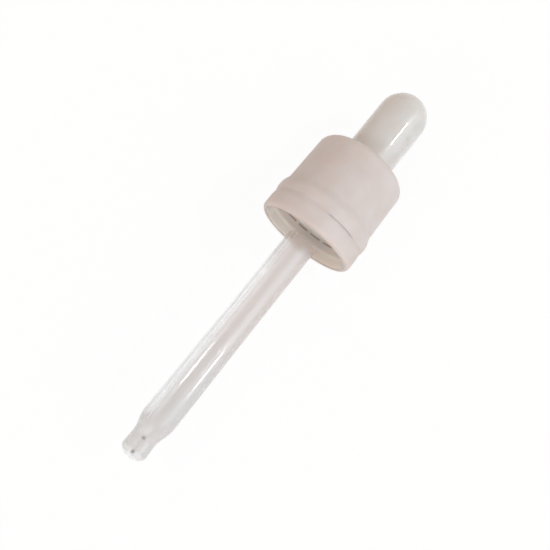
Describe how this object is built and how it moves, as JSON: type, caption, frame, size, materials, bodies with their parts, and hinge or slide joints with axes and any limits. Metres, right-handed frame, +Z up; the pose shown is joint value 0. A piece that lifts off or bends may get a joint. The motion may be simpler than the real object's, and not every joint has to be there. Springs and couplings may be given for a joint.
{
  "type": "dropper pipette with squeeze bulb and screw cap",
  "caption": "Dropper pipette: clear plastic tube with a rounded tip, white screw cap with a tamper-evident band, and a soft domed squeeze bulb.",
  "frame": {"origin": "centre of the bounding box at the lowest point of the cap's bead, on the surface that the dropper lies on", "axes": "+X along the common axis from the tip to the bulb's dome, level; +Z up from the surface"},
  "size_m": [0.096, 0.0226, 0.0227],
  "materials": {
    "bulb": "smooth translucent silicone",
    "cap": "satin, slightly waxy moulding",
    "tube": "clear and glossy"
  },
  "bodies": {
    "root": {"bulb": "bulb", "cap": "cap", "pipette": "tube"}
  },
  "joints": []
}
